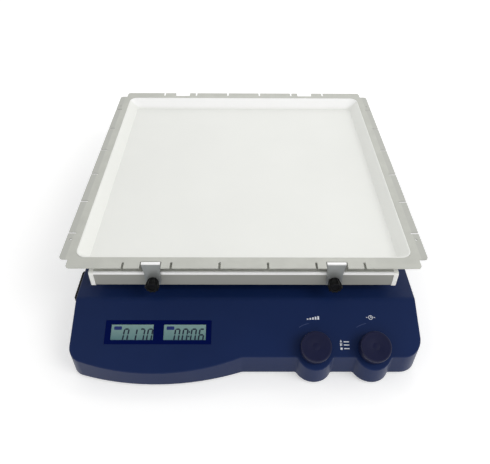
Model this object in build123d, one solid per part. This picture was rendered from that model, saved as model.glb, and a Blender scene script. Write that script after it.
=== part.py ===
from build123d import *
from math import atan, cos, degrees, pi, radians, sin, sqrt, tan
import os

# An orbital shaker: a cast housing with a sloping control panel, a belt-driven eccentric under its deck,
# and a platform that carries a slotted sheet-metal tray round a small circle without turning it.
# Millimetres. +Z is up and -Y is the front. The origin is on the bench, under the middle of the whole.

# Housing
HOUSING_WIDTH = 370.0
FRONT_Y = -213.6
REAR_Y = 191.0
FOOT_HEIGHT = 4.0
HOUSING_HEIGHT = 52.4
WALL = 4.0
BEND_Y = -155.7
PANEL_SLOPE = 23.4
BEND_RADIUS = 12.0
EDGE_RADIUS = 1.2
CORNER_RADIUS = 20.0
LEFT_CORNER_RADIUS = 16.0
BOW_X = -95.0
BOW_HALF_WIDTH = 91.0
BOW_DEPTH = 15.3
BOW_BLEND = 8.0
BOSS_RADIUS = 20.0
BOSS_BLEND = 3.0

# Control panel, measured down the slope from the bend
KNOB_XS = (72.1, 133.3)
KNOB_DOWN = 54.7
KNOB_RADIUS = 15.8
KNOB_TOP = 14.0
KNOB_GAP = 2.2
KNOB_SKIRT = 1.2
PUSH_TRAVEL = 1.2
ENCODER_SIZE = 13.0
ENCODER_DEPTH = 7.0
BUSHING_RADIUS = 4.5
SPINDLE_RADIUS = 3.0
WINDOW_X = -92.8
WINDOW_DOWN = 37.0
WINDOW_WIDTH = 112.8
WINDOW_HEIGHT = 25.8
WINDOW_THICKNESS = 1.5
DISPLAY_XS = (-120.4, -64.7)
DISPLAY_WIDTH = 45.0
DISPLAY_HEIGHT = 16.8
DISPLAY_SINK = 0.4
DISPLAY_DEPTH = 5.5
BOARD = 1.6

# Drive
DRIVE_Y = 32.0
ORBIT_RADIUS = 5.0
REST_PHASE = 117.4
SHAFT_RADIUS = 7.5
MAIN_BEARING = (16.0, 8.0)
PIN_RADIUS = 6.0
PIN_BEARING = (14.0, 8.0)
IDLER_SPAN_X = 230.0
IDLER_SPAN_Y = 220.0
IDLER_RADIUS = 4.0
IDLER_BEARING = (11.0, 7.0)
HUB_WALL = 5.0
BEARING_WALL = 4.0
RIB_THICKNESS = 3.0
RIB_DEPTH = 6.0
DISC_GAP = 1.0
DISC_THICKNESS = 5.0
ECCENTRIC_RADIUS = 24.0
IDLER_DISC_RADIUS = 13.0
PULLEY_RADIUS = 42.0
MOTOR_PULLEY_RADIUS = 14.0
PULLEY_FLANGE = 1.2
PULLEY_SHOULDER = 1.0
STACK_GAP = 1.0
BELT_WIDTH = 8.0
BELT_THICKNESS = 2.0
MOTOR_X = -100.0
ROTOR_RADIUS = 31.0
ROTOR_FLOOR = 2.5
MOTOR_SHAFT_RADIUS = 4.0
MOTOR_MOUNT = 68.0
MOTOR_MOUNT_THICKNESS = 3.0
MOTOR_POST_HEIGHT = 4.0
MOTOR_POST_SPAN = 54.0
WEIGHT_RADIUS = 52.0
WEIGHT_THICKNESS = 6.0

# Boards on the floor: middle in X and Y, width, depth
STANDOFF = 5.0
CONTROL_BOARD = (104.0, -54.0, 104.0, 80.0)
POWER_BOARD = (106.0, 110.0, 88.0, 80.0)
# Their larger parts: place from the board's middle, width, depth, height
CONTROL_PARTS = ((-32.0, -10.0, 14.0, 14.0, 3.0), (0.0, -10.0, 20.0, 20.0, 10.0), (34.0, 10.0, 12.0, 26.0, 14.0),
                 (-22.0, 22.0, 24.0, 8.0, 6.0))
POWER_PARTS = ((-22.0, 0.0, 28.0, 32.0, 22.0), (6.0, -22.0, 16.0, 16.0, 24.0), (28.0, -22.0, 16.0, 16.0, 24.0),
               (36.0, 12.0, 10.0, 30.0, 12.0))

# Platform and tray
BAR_LENGTH = 330.0
CAP_THICKNESS = 5.0
BAR_DEPTH = 30.0
BAR_HEIGHT = 19.0
BAR_LIFT = 13.1
BAR_FACE = 184.2
BAR_WALL = 2.0
BAR_FRONT_WALL = 4.0
BAR_EDGE = 3.0
PLATE_THICKNESS = 6.0
PLATE_LIFT = 6.0
PLATE_WIDTH = 290.0
PLATE_ENTRY = 7.0
PIN_SINK = 1.0
POCKET_XS = (-90.0, -45.0, 45.0, 90.0)
POCKET_Y = 62.0
POCKET_LENGTH = 70.0
POCKET_WIDTH = 26.0
TRAY_OUTER = 386.0
TRAY_OPENING = 358.0
TRAY_FLOOR = 336.0
TRAY_DEPTH = 16.6
TRAY_CORNER = 12.0
SHEET = 1.2
FLANGE_LENGTH = 366.6
FLANGE_CORNER = 4.0
SLOT_WIDTH = 2.4
SLOT_DEPTH = 8.5
SLOT_PITCH_X = 50.0
SLOT_PITCH_Y = 55.7
SLOT_COUNT = 6
NOTCH_X = 96.4
NOTCH_WIDTH = 22.0
NOTCH_DEPTH = 9.2
FLANGE_HOLE = 2.6
FLANGE_HOLE_Y = 149.5
LINER_FLOOR = 1.5
LINER_WALL = 1.0
CLAMP_THICKNESS = 3.5
CLAMP_WIDTH = 19.8
CLAMP_WAIST = 16.6
CLAMP_SCREW_LIFT = 10.5
CLAMP_TAIL = 8.5
GRIP_RADIUS = 7.7
GRIP_NECK = 6.2
GRIP_LENGTH = 10.5
GRIP_FLUTES = 8
SCREW_RADIUS = 2.5

# Power switch on the left wall and mains inlet at the back
SWITCH_Y = -128.0
SWITCH_DROP = 21.4
SWITCH_LENGTH = 40.0
SWITCH_HEIGHT = 27.0
SWITCH_PROUD = 6.0
ROCKER_LENGTH = 29.0
ROCKER_HEIGHT = 19.0
ROCKER_ANGLE = 5.0
INLET_X = 120.0
INLET_DROP = 26.4
INLET_WIDTH = 31.0
INLET_HEIGHT = 24.0
DRAWER_HEIGHT = 9.0
LOUVRE_COUNT = 12
LOUVRE_X = -140.0
LOUVRE_PITCH = 9.0
LOUVRE_WIDTH = 4.0
LOUVRE_HEIGHT = 20.0

# Screw posts and feet
POST_RADIUS = 5.0
POST_X = 165.0
POST_YS = (-188.0, 171.0)
SIDE_POST_X = 168.0
SIDE_POST_Y = -40.0
MIDDLE_POST_Y = -190.0
FOOT_X = 148.0
FOOT_YS = (-168.0, 158.0)
FOOT_RADIUS = 12.0

# Fits
FLAT_GAP = 0.3
RUNNING = 0.05
SEAT = 0.02
DISPLAY_GAP = 0.15

DECK_Z = FOOT_HEIGHT + HOUSING_HEIGHT
INNER_DECK = DECK_Z - WALL
FLOOR_Z = FOOT_HEIGHT + 2.0
SLOPE = radians(PANEL_SLOPE)
PANEL = Plane(origin=(0, BEND_Y, DECK_Z), x_dir=(1, 0, 0), z_dir=(0, -sin(SLOPE), cos(SLOPE)))
BOSS_Y = BEND_Y - KNOB_DOWN * cos(SLOPE)
BOW_RADIUS = (BOW_HALF_WIDTH**2 + BOW_DEPTH**2) / (2 * BOW_DEPTH)
REST_X = ORBIT_RADIUS * cos(radians(REST_PHASE))
REST_Y = ORBIT_RADIUS * sin(radians(REST_PHASE))
TRAY_Y = DRIVE_Y + REST_Y
BAR_BOTTOM = DECK_Z + BAR_LIFT
BAR_TOP = BAR_BOTTOM + BAR_HEIGHT
FLANGE_TOP = BAR_TOP + TRAY_DEPTH
PLATE_BOTTOM = BAR_BOTTOM + PLATE_LIFT
PLATE_TOP = PLATE_BOTTOM + PLATE_THICKNESS
PIN_TOP = PLATE_TOP - PIN_SINK
CLAMP_SCREW_Z = BAR_BOTTOM + CLAMP_SCREW_LIFT
SWITCH_Z = DECK_Z - SWITCH_DROP
INLET_Z = DECK_Z - INLET_DROP
DISC_BOTTOM = DECK_Z + DISC_GAP
DISC_TOP = DISC_BOTTOM + DISC_THICKNESS
IDLERS = [(sx * IDLER_SPAN_X / 2, DRIVE_Y + sy * IDLER_SPAN_Y / 2) for sx in (-1, 1) for sy in (-1, 1)]
POSTS = [(sx * POST_X, y) for sx in (-1, 1) for y in POST_YS]
POSTS += [(-SIDE_POST_X, SIDE_POST_Y), (SIDE_POST_X, SIDE_POST_Y), (0, POST_YS[1]), (0, MIDDLE_POST_Y)]
FEET = [(sx * FOOT_X, y) for sx in (-1, 1) for y in FOOT_YS]
MOTOR_POSTS = [(MOTOR_X + sx * MOTOR_POST_SPAN / 2, DRIVE_Y + sy * MOTOR_POST_SPAN / 2)
               for sx in (-1, 1) for sy in (-1, 1)]

# The drive hangs from the deck: bearings, counterweight, pulley
HUB_LOW = DECK_Z - 2 * MAIN_BEARING[1] - 2
WEIGHT_TOP = HUB_LOW - STACK_GAP
PULLEY_TOP = WEIGHT_TOP - WEIGHT_THICKNESS - STACK_GAP
BELT_Z = PULLEY_TOP - PULLEY_FLANGE - PULLEY_SHOULDER - BELT_WIDTH
PULLEY_LOW = BELT_Z - PULLEY_SHOULDER - PULLEY_FLANGE
MOUNT_TOP = INNER_DECK - MOTOR_POST_HEIGHT
MOUNT_LOW = MOUNT_TOP - MOTOR_MOUNT_THICKNESS
ROTOR_LOW = PULLEY_TOP + STACK_GAP


def block(x0, x1, y0, y1, z0, z1):
    """A box between two corners."""
    return Pos((x0 + x1) / 2, (y0 + y1) / 2, (z0 + z1) / 2) * Box(x1 - x0, y1 - y0, z1 - z0)


def upright(x, y, z0, z1, radius):
    """An upright cylinder."""
    return Pos(x, y, (z0 + z1) / 2) * Cylinder(radius, z1 - z0)


def ring(x, y, z0, z1, outer, inner):
    """An upright ring."""
    return upright(x, y, z0, z1, outer) - upright(x, y, z0 - 1, z1 + 1, inner)


def slab(sketch, z0, z1):
    """A flat outline made solid between two heights."""
    return Pos(0, 0, z0) * extrude(sketch, z1 - z0)


def on_panel(x, down, lift=0.0):
    """The place on the sloping panel, with its own Z square to the panel."""
    return PANEL.location * Pos(x, -down, lift)


def rounded(sketch, x, y, radius):
    """The outline with its corner nearest to a point rounded."""
    corner = min(sketch.vertices(), key=lambda v: (v.X - x) ** 2 + (v.Y - y) ** 2)
    return fillet(corner, radius)


def outline(inset):
    """The housing's plan: a rectangle with a bowed front at the left and two round knob bosses."""
    half = HOUSING_WIDTH / 2 - inset
    front = FRONT_Y + inset
    rear = REAR_Y - inset
    plan = Pos(0, (front + rear) / 2) * Rectangle(2 * half, rear - front)
    bow = Pos(BOW_X, FRONT_Y - BOW_DEPTH + BOW_RADIUS) * Circle(BOW_RADIUS - inset)
    plan += bow & (Pos(0, front - BOW_DEPTH) * Rectangle(2 * half, 4 * BOW_DEPTH))
    plan = rounded(plan, -half, rear, CORNER_RADIUS - inset)
    plan = rounded(plan, half, rear, CORNER_RADIUS - inset)
    plan = rounded(plan, half, front, CORNER_RADIUS - inset)
    plan = rounded(plan, -half, front, LEFT_CORNER_RADIUS - inset)
    plan = rounded(plan, BOW_X + BOW_HALF_WIDTH, front, BOW_BLEND + inset)
    for x in KNOB_XS:
        plan += Pos(x, BOSS_Y) * Circle(BOSS_RADIUS - inset)
        reach = sqrt((BOSS_RADIUS - inset) ** 2 - (BOSS_Y - front) ** 2)
        for side in (-1, 1):
            plan = rounded(plan, x + side * reach, front, BOSS_BLEND + inset)
    return plan


def over_deck(drop):
    """Everything above the deck and the sloping panel, lowered squarely by drop."""
    bend = BEND_Y + drop * tan(SLOPE / 2)
    deck = DECK_Z - drop
    run = bend - FRONT_Y + 3 * BOW_DEPTH
    side = [(REAR_Y + 50, deck), (bend, deck), (bend - run, deck - run * tan(SLOPE)), (bend - run, 300),
            (REAR_Y + 50, 300)]
    return extrude(Plane.YZ * make_face(Polyline(*side, close=True)), HOUSING_WIDTH, both=True)


def base_housing():
    """The cast housing, open below, with its bearing hubs, screw posts and panel openings."""
    body = slab(outline(0), FOOT_HEIGHT, DECK_Z + 10) - over_deck(0)
    bend = body.edges().filter_by(Axis.X).sort_by(lambda e: abs(e.center().Y - BEND_Y) + abs(e.center().Z - DECK_Z))
    body = fillet(bend[0], BEND_RADIUS)
    top = body.faces().filter_by(lambda f: f.normal_at().Z > 0.8).edges()
    outer = [e for e in top if len([f for f in body.faces() if e in f.edges() and f.normal_at().Z > 0.8]) == 1]
    body = fillet(outer, EDGE_RADIUS)
    cavity = slab(outline(WALL), FOOT_HEIGHT - 1, DECK_Z) - over_deck(WALL)
    body -= cavity
    body += hubs() & (cavity + over_deck(WALL) - over_deck(0.5))
    for x, y in [(0, DRIVE_Y)]:
        body -= upright(x, y, 0, DECK_Z + 1, MAIN_BEARING[0] + SEAT)
    for x, y in IDLERS:
        body -= upright(x, y, 0, DECK_Z + 1, IDLER_BEARING[0] + SEAT)
    for x, y in POSTS:
        body -= upright(x, y, 0, FLOOR_Z + 9, 1.7)
    for x, y in MOTOR_POSTS:
        body -= upright(x, y, 0, INNER_DECK + 1, 1.7)
    return body - panel_openings() - wall_openings()


def hubs():
    """Bearing hubs, screw posts and stiffening ribs that hang from the inside of the deck."""
    made = upright(0, DRIVE_Y, HUB_LOW, DECK_Z, MAIN_BEARING[0] + HUB_WALL)
    rib = RIB_THICKNESS / 2
    low = INNER_DECK - RIB_DEPTH
    for x, y in IDLERS:
        made += upright(x, y, DECK_Z - 2 * IDLER_BEARING[1], DECK_Z, IDLER_BEARING[0] + BEARING_WALL)
        made += block(min(x, 0), max(x, 0), y - rib, y + rib, low, DECK_Z)
    made += block(-rib, rib, DRIVE_Y - IDLER_SPAN_Y / 2, DRIVE_Y + IDLER_SPAN_Y / 2, low, DECK_Z)
    for x, y in POSTS:
        made += upright(x, y, FLOOR_Z, DECK_Z, POST_RADIUS)
    for x, y in MOTOR_POSTS:
        made += upright(x, y, MOUNT_TOP, DECK_Z, 4.5)
    for x in (WINDOW_X - 50, WINDOW_X + 50):
        for down in (WINDOW_DOWN - 17, WINDOW_DOWN + 17):
            depth = DISPLAY_SINK + DISPLAY_DEPTH
            made += on_panel(x, down, -(WALL - 1 + depth) / 2) * Cylinder(3, depth - WALL + 1)
    return made


def panel_openings():
    """The sunk seat of the display window, the openings behind it and the encoder holes."""
    cut = on_panel(WINDOW_X, WINDOW_DOWN) * Box(WINDOW_WIDTH, WINDOW_HEIGHT, 2 * WINDOW_THICKNESS)
    for x in DISPLAY_XS:
        cut += on_panel(x, WINDOW_DOWN) * Box(DISPLAY_WIDTH + 1, DISPLAY_HEIGHT + 1, 6 * WALL)
    for x in KNOB_XS:
        cut += on_panel(x, KNOB_DOWN) * Cylinder(BUSHING_RADIUS + RUNNING, 3 * WALL)
    return cut


def wall_openings():
    """The openings for the power switch and the mains inlet, and louvres beside the inlet."""
    cut = block(-HOUSING_WIDTH / 2 - 5, -HOUSING_WIDTH / 2 + 10, SWITCH_Y - ROCKER_LENGTH / 2 - 3,
                SWITCH_Y + ROCKER_LENGTH / 2 + 3, SWITCH_Z - ROCKER_HEIGHT / 2 - 2, SWITCH_Z + ROCKER_HEIGHT / 2 + 2)
    cut += block(INLET_X - INLET_WIDTH / 2, INLET_X + INLET_WIDTH / 2, REAR_Y - 10, REAR_Y + 5,
                 INLET_Z - INLET_HEIGHT / 2, INLET_Z + INLET_HEIGHT / 2)
    for i in range(LOUVRE_COUNT):
        x = LOUVRE_X + LOUVRE_PITCH * i
        cut += block(x, x + LOUVRE_WIDTH, REAR_Y - 10, REAR_Y + 5, INLET_Z - LOUVRE_HEIGHT / 2,
                     INLET_Z + LOUVRE_HEIGHT / 2)
    for side in (-1, 1):
        cut += Pos(INLET_X + side * 20, REAR_Y, INLET_Z) * Rot(90, 0, 0) * Cylinder(1.7, 30)
    return cut


def bottom_plate():
    """The steel plate that closes the housing from below, with cooling slots under the motor."""
    plate = slab(outline(WALL + FLAT_GAP), FOOT_HEIGHT, FLOOR_Z)
    for x, y in POSTS:
        plate -= upright(x, y, 0, 10, 2.2)
    for x, y in FEET:
        plate -= upright(x, y, 0, 10, 2.2)
    for i in range(7):
        x = MOTOR_X + 9 * (i - 3)
        plate -= slab(Pos(x, DRIVE_Y) * SlotOverall(60, 4, rotation=90), 0, 10)
    return plate


def plate_screws():
    """Countersunk-free pan screws that hold the bottom plate to its posts."""
    made = []
    for x, y in POSTS:
        head = upright(x, y, FOOT_HEIGHT - 1.8, FOOT_HEIGHT, 3.6)
        drive = slab(Pos(x, y) * RegularPolygon(1.5, 6), FOOT_HEIGHT - 2, FOOT_HEIGHT - 0.9)
        made.append(head + upright(x, y, FOOT_HEIGHT - 1, FLOOR_Z + 8, 1.65) - drive)
    return Compound(made)


def rubber_feet():
    """Four round feet, each with a waisted foot and a stud that passes through the bottom plate."""
    made = []
    for x, y in FEET:
        foot = Pos(x, y, FOOT_HEIGHT / 2) * Cone(FOOT_RADIUS - 1.5, FOOT_RADIUS, FOOT_HEIGHT)
        foot += upright(x, y, FOOT_HEIGHT - 1, FLOOR_Z, 2.1)
        foot += upright(x, y, FLOOR_Z, FLOOR_Z + 1.5, 4)
        made.append(foot)
    return Compound(made)


def display_window():
    """The dark window plate with its two clear openings."""
    plate = Box(WINDOW_WIDTH - 2 * DISPLAY_GAP, WINDOW_HEIGHT - 2 * DISPLAY_GAP, WINDOW_THICKNESS)
    plate = on_panel(WINDOW_X, WINDOW_DOWN, -WINDOW_THICKNESS / 2) * plate
    for x in DISPLAY_XS:
        plate -= on_panel(x, WINDOW_DOWN) * Box(DISPLAY_WIDTH, DISPLAY_HEIGHT, 6 * WALL)
    return plate


def display(x):
    """One liquid-crystal display: its glass just under the window's face, its frame on the board."""
    size = (DISPLAY_WIDTH - 2 * DISPLAY_GAP, DISPLAY_HEIGHT - 2 * DISPLAY_GAP)
    glass = on_panel(x, WINDOW_DOWN, -DISPLAY_SINK - DISPLAY_DEPTH / 2) * Box(*size, DISPLAY_DEPTH)
    return chamfer(glass.faces().sort_by(Axis.Z)[-1].edges(), 0.2)


def display_board():
    """The circuit board behind the displays, with its driver chips and a plug socket."""
    lift = -DISPLAY_SINK - DISPLAY_DEPTH
    board = on_panel(WINDOW_X, WINDOW_DOWN, lift - BOARD / 2) * Box(WINDOW_WIDTH, 42, BOARD)
    for x in DISPLAY_XS:
        board += on_panel(x, WINDOW_DOWN - 4, lift - BOARD - 1) * Box(12, 9, 2)
    return board + on_panel(WINDOW_X, WINDOW_DOWN + 12, lift - BOARD - 3) * Box(20, 6, 6)


def encoder(x):
    """A push encoder: its case under the panel, its threaded bushing through it, and its nut."""
    top = -WALL
    case = on_panel(x, KNOB_DOWN, top - ENCODER_DEPTH / 2) * Box(ENCODER_SIZE, ENCODER_SIZE, ENCODER_DEPTH)
    case += on_panel(x, KNOB_DOWN, (top + 4.2) / 2) * Cylinder(BUSHING_RADIUS, 4.2 - top)
    nut = on_panel(x, KNOB_DOWN, 0.0) * extrude(RegularPolygon(7, 6), 2.0)
    case += nut
    case -= on_panel(x, KNOB_DOWN, 0) * Cylinder(SPINDLE_RADIUS + RUNNING, 40)
    case -= on_panel(x, KNOB_DOWN, top - ENCODER_DEPTH + 3) * Cylinder(5, 5)
    return case


def encoder_board():
    """The board that both encoders are soldered to."""
    lift = -WALL - ENCODER_DEPTH
    middle = (KNOB_XS[0] + KNOB_XS[1]) / 2
    board = on_panel(middle, KNOB_DOWN - 3, lift - BOARD / 2) * Box(KNOB_XS[1] - KNOB_XS[0] + 22, 20, BOARD)
    return board + on_panel(middle, KNOB_DOWN - 3, lift + 3) * Box(14, 6, 6)


def encoder_slider(x):
    """The collar in an encoder that the spindle turns in and carries down when it is pushed."""
    level = -WALL - ENCODER_DEPTH + 3
    collar = Cylinder(4.8, 2) - Cylinder(SPINDLE_RADIUS + RUNNING, 4)
    return on_panel(x, KNOB_DOWN, level + 1.2) * collar


def encoder_spindle(x):
    """The encoder's spindle, with the flat that keys the knob."""
    low = -WALL - ENCODER_DEPTH + PUSH_TRAVEL + 0.3
    high = KNOB_TOP - 3
    pin = Pos(0, 0, (low + high) / 2) * Cylinder(SPINDLE_RADIUS, high - low)
    pin -= Pos(0, SPINDLE_RADIUS - 0.25, high) * Box(10, 1.5, 12)
    return on_panel(x, KNOB_DOWN) * pin


def control_knob(x):
    """A round cap knob with a flared foot, a rounded rim, a shallow dished face and a keyed bore."""
    foot = KNOB_GAP
    half = [(0, foot), (KNOB_RADIUS, foot), (KNOB_RADIUS, foot + KNOB_SKIRT),
            (KNOB_RADIUS - 0.7, KNOB_TOP - 1.4), (KNOB_RADIUS - 2.1, KNOB_TOP), (KNOB_RADIUS - 3.6, KNOB_TOP),
            (KNOB_RADIUS - 5.2, KNOB_TOP - 0.5), (0, KNOB_TOP - 0.5)]
    cap = revolve(Plane.XZ * make_face(Polyline(*half, close=True)), Axis.Z)
    cap -= Pos(0, 0, foot) * Cylinder(8.5, 8.5)
    bore = Cylinder(SPINDLE_RADIUS + SEAT, 2 * (KNOB_TOP - 3))
    bore -= Pos(0, SPINDLE_RADIUS + SEAT - 0.25, KNOB_TOP - 3) * Box(10, 1.5, 12)
    return on_panel(x, KNOB_DOWN) * (cap - bore)


def bearing_ring(x, y, z, outer, inner, width):
    """A ball bearing drawn as one ring with the groove of its shields on both faces."""
    made = ring(x, y, z, z + width, outer, inner)
    groove = ((outer - inner) * 0.72 + inner, (outer - inner) * 0.28 + inner)
    for level in (z - 1, z + width - 0.5):
        made -= ring(x, y, level, level + 1.5, *groove)
    return made


def main_bearings():
    """The two bearings of the main shaft, seated in the deck's hub."""
    outer, width = MAIN_BEARING
    inner = SHAFT_RADIUS + SEAT
    levels = (DECK_Z - width, DECK_Z - 2 * width - 0.5)
    return Compound([bearing_ring(0, DRIVE_Y, z, outer, inner, width) for z in levels])


def idler_bearings():
    """The lower bearings of the four idler cranks, two to each hub."""
    outer, width = IDLER_BEARING
    inner = IDLER_RADIUS + SEAT
    levels = (DECK_Z - width, DECK_Z - 2 * width)
    return Compound([bearing_ring(x, y, z, outer, inner, width - 0.1) for x, y in IDLERS for z in levels])


def crank_pin(x, y, z0, z1, radius):
    """An upright pin with a chamfered top."""
    return chamfer(upright(x, y, z0, z1, radius).edges().sort_by(Axis.Z)[-1], 0.6)


def eccentric_shaft():
    """The main shaft with its eccentric disc above the deck and the crank pin that drives the platform."""
    made = upright(0, DRIVE_Y, PULLEY_LOW - 2, DISC_BOTTOM, SHAFT_RADIUS)
    made += upright(0, DRIVE_Y, DISC_BOTTOM - DISC_GAP / 2, DISC_BOTTOM, SHAFT_RADIUS + 2)
    disc = upright(0, DRIVE_Y, DISC_BOTTOM, DISC_TOP, ECCENTRIC_RADIUS)
    made += chamfer(disc.edges(), 0.6)
    made += upright(REST_X, TRAY_Y, DISC_TOP, PIN_TOP - PIN_BEARING[1] - 1, PIN_RADIUS + 2)
    return made + crank_pin(REST_X, TRAY_Y, DISC_TOP, PIN_TOP, PIN_RADIUS)


def pulley(x, y, radius, bore, face_web):
    """A flanged belt pulley, lightened by a web with round holes where it is large."""
    made = upright(x, y, PULLEY_LOW, PULLEY_TOP, radius)
    for low in (PULLEY_LOW, PULLEY_TOP - PULLEY_FLANGE):
        made += upright(x, y, low, low + PULLEY_FLANGE, radius + 2.4)
    if face_web:
        pocket = ring(x, y, 0, 3.2, radius - 4, bore + 7)
        made -= Pos(0, 0, PULLEY_TOP - 3.2) * pocket + Pos(0, 0, PULLEY_LOW) * pocket
        for i in range(6):
            made -= Pos(x, y, BELT_Z) * Rot(0, 0, 60 * i) * Pos(radius * 0.6, 0, 0) * Cylinder(6, 40)
    return made - upright(x, y, PULLEY_LOW - 1, PULLEY_TOP + 1, bore + SEAT)


def driven_pulley():
    """The large pulley on the main shaft."""
    return pulley(0, DRIVE_Y, PULLEY_RADIUS, SHAFT_RADIUS, True)


def counterweight():
    """The half-round weight on the main shaft, opposite the crank pin, with its clamp hub."""
    half = Circle(WEIGHT_RADIUS) - Pos(WEIGHT_RADIUS, 0) * Rectangle(2 * WEIGHT_RADIUS, 3 * WEIGHT_RADIUS)
    plan = half + Circle(SHAFT_RADIUS + 7)
    made = slab(plan, 0, WEIGHT_THICKNESS) - upright(0, 0, -1, 20, SHAFT_RADIUS + SEAT)
    made -= upright(-WEIGHT_RADIUS * 0.62, 18, -1, 20, 3.3) + upright(-WEIGHT_RADIUS * 0.62, -18, -1, 20, 3.3)
    return Pos(0, DRIVE_Y, WEIGHT_TOP - WEIGHT_THICKNESS) * Rot(0, 0, REST_PHASE) * made


def idler_crank(x, y):
    """A small crank whose two pins stand one orbit radius apart, so it keeps the platform from turning."""
    outer, width = IDLER_BEARING
    made = upright(x, y, DECK_Z - 2 * width - 2, DISC_BOTTOM, IDLER_RADIUS)
    made += upright(x, y, DISC_BOTTOM - DISC_GAP / 2, DISC_BOTTOM, IDLER_RADIUS + 1.5)
    made += chamfer(upright(x, y, DISC_BOTTOM, DISC_TOP, IDLER_DISC_RADIUS).edges(), 0.5)
    made += upright(x + REST_X, y + REST_Y, DISC_TOP, PIN_TOP - width - 1, IDLER_RADIUS + 1.5)
    return made + crank_pin(x + REST_X, y + REST_Y, DISC_TOP, PIN_TOP, IDLER_RADIUS)


def idler_sockets():
    """Where the idlers' upper pins meet the platform at rest."""
    return [(x + REST_X, y + REST_Y) for x, y in IDLERS]


def drive_belt():
    """The flat belt round both pulleys."""
    def loop(extra):
        small = Pos(MOTOR_X, DRIVE_Y) * Circle(MOTOR_PULLEY_RADIUS + extra)
        large = Pos(0, DRIVE_Y) * Circle(PULLEY_RADIUS + extra)
        return make_hull(small.edges() + large.edges())

    band = slab(loop(FLAT_GAP + BELT_THICKNESS), BELT_Z, BELT_Z + BELT_WIDTH)
    return band - slab(loop(FLAT_GAP), BELT_Z - 1, BELT_Z + BELT_WIDTH + 1)


def motor_mount():
    """The steel plate that hangs the motor from the deck's posts."""
    plate = Pos(MOTOR_X, DRIVE_Y) * RectangleRounded(MOTOR_MOUNT, MOTOR_MOUNT, 6)
    made = slab(plate, MOUNT_LOW, MOUNT_TOP) - upright(MOTOR_X, DRIVE_Y, 0, 100, 8)
    for x, y in MOTOR_POSTS:
        made -= upright(x, y, 0, 100, 1.9)
    return made


def mount_screws():
    """The screws that hold the motor's plate to the deck."""
    made = []
    for x, y in MOTOR_POSTS:
        made.append(upright(x, y, MOUNT_LOW - 2.4, MOUNT_LOW, 3.4) + upright(x, y, MOUNT_LOW - 1, INNER_DECK, 1.65))
    return Compound(made)


def motor_stator():
    """The wound core of the outer-rotor motor and the flange and tube that carry it."""
    low, high = ROTOR_LOW + ROTOR_FLOOR + 1.5, MOUNT_LOW - 5
    made = upright(MOTOR_X, DRIVE_Y, MOUNT_LOW - 3, MOUNT_LOW, 20)
    made += upright(MOTOR_X, DRIVE_Y, low - 1, MOUNT_LOW, 8)
    poles = upright(MOTOR_X, DRIVE_Y, low, high, 16)
    tall = high - low
    for i in range(9):
        tooth = Rot(0, 0, 40 * i) * (Pos(19, 0, 0) * Box(10, 5, tall) + Pos(25, 0, 0) * Box(3, 12, tall))
        poles += Pos(MOTOR_X, DRIVE_Y, (low + high) / 2) * tooth
    return made + poles - upright(MOTOR_X, DRIVE_Y, 0, 100, MOTOR_SHAFT_RADIUS + RUNNING)


def motor_rotor():
    """The bell of the outer-rotor motor with its shaft."""
    made = upright(MOTOR_X, DRIVE_Y, ROTOR_LOW, MOUNT_LOW - 3.6, ROTOR_RADIUS)
    made -= upright(MOTOR_X, DRIVE_Y, ROTOR_LOW + ROTOR_FLOOR, MOUNT_LOW, ROTOR_RADIUS - 3)
    for i in range(6):
        made -= Pos(MOTOR_X, DRIVE_Y, ROTOR_LOW) * Rot(0, 0, 60 * i) * Pos(17, 0, 0) * Cylinder(4, 8)
    return made + upright(MOTOR_X, DRIVE_Y, PULLEY_LOW - 1, MOUNT_LOW - 0.5, MOTOR_SHAFT_RADIUS)


def motor_pulley():
    """The small pulley on the motor's shaft."""
    return pulley(MOTOR_X, DRIVE_Y, MOTOR_PULLEY_RADIUS, MOTOR_SHAFT_RADIUS, False)


def control_board():
    """The motor control board on its four standoffs."""
    return circuit_board(*CONTROL_BOARD, CONTROL_PARTS)


def power_board():
    """The mains power board: its transformer, capacitors and terminals."""
    return circuit_board(*POWER_BOARD, POWER_PARTS)


def circuit_board(x, y, width, depth, parts):
    """A board on four standoffs with blocks for its larger parts."""
    level = FLOOR_Z + STANDOFF
    made = Pos(x, y, level + BOARD / 2) * Box(width, depth, BOARD)
    for sx in (-1, 1):
        for sy in (-1, 1):
            made += upright(x + sx * (width / 2 - 5), y + sy * (depth / 2 - 5), FLOOR_Z, level, 3)
    for right, back, wide, deep, tall in parts:
        made += Pos(x + right, y + back, level + BOARD + tall / 2) * Box(wide, deep, tall)
    return made


def bar_profile(grow):
    """The platform bar's outer section, in Y and Z, with its front face at Y = 0."""
    low, high = BAR_BOTTOM - grow, BAR_TOP + min(grow, 0)
    section = Pos((BAR_DEPTH + grow) / 2 - grow, (low + high) / 2) * Rectangle(BAR_DEPTH + grow, high - low)
    section = rounded(section, -grow, high, BAR_EDGE)
    return rounded(section, -grow, low, 1.0)


def platform_bar(front):
    """One extruded bar of the platform, hollow, with a groove in its inner face for the plate."""
    section = bar_profile(0)
    inside = BAR_DEPTH - BAR_FRONT_WALL - PLATE_ENTRY - 5
    hollow = Rectangle(inside, BAR_HEIGHT - 2 * BAR_WALL)
    section -= Pos(BAR_FRONT_WALL + inside / 2, (BAR_BOTTOM + BAR_TOP) / 2) * hollow
    groove = Rectangle(2 * (PLATE_ENTRY + FLAT_GAP), PLATE_THICKNESS + 2 * SEAT)
    section -= Pos(BAR_DEPTH, (PLATE_BOTTOM + PLATE_TOP) / 2) * groove
    bar = extrude(Plane.YZ * section, BAR_LENGTH / 2 - CAP_THICKNESS, both=True)
    if front:
        for side in (-1, 1):
            hole = Pos(side * NOTCH_X, 0, CLAMP_SCREW_Z) * Rot(90, 0, 0) * Cylinder(SCREW_RADIUS + RUNNING, 14)
            bar -= hole
    return bar_place(front) * bar


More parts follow.
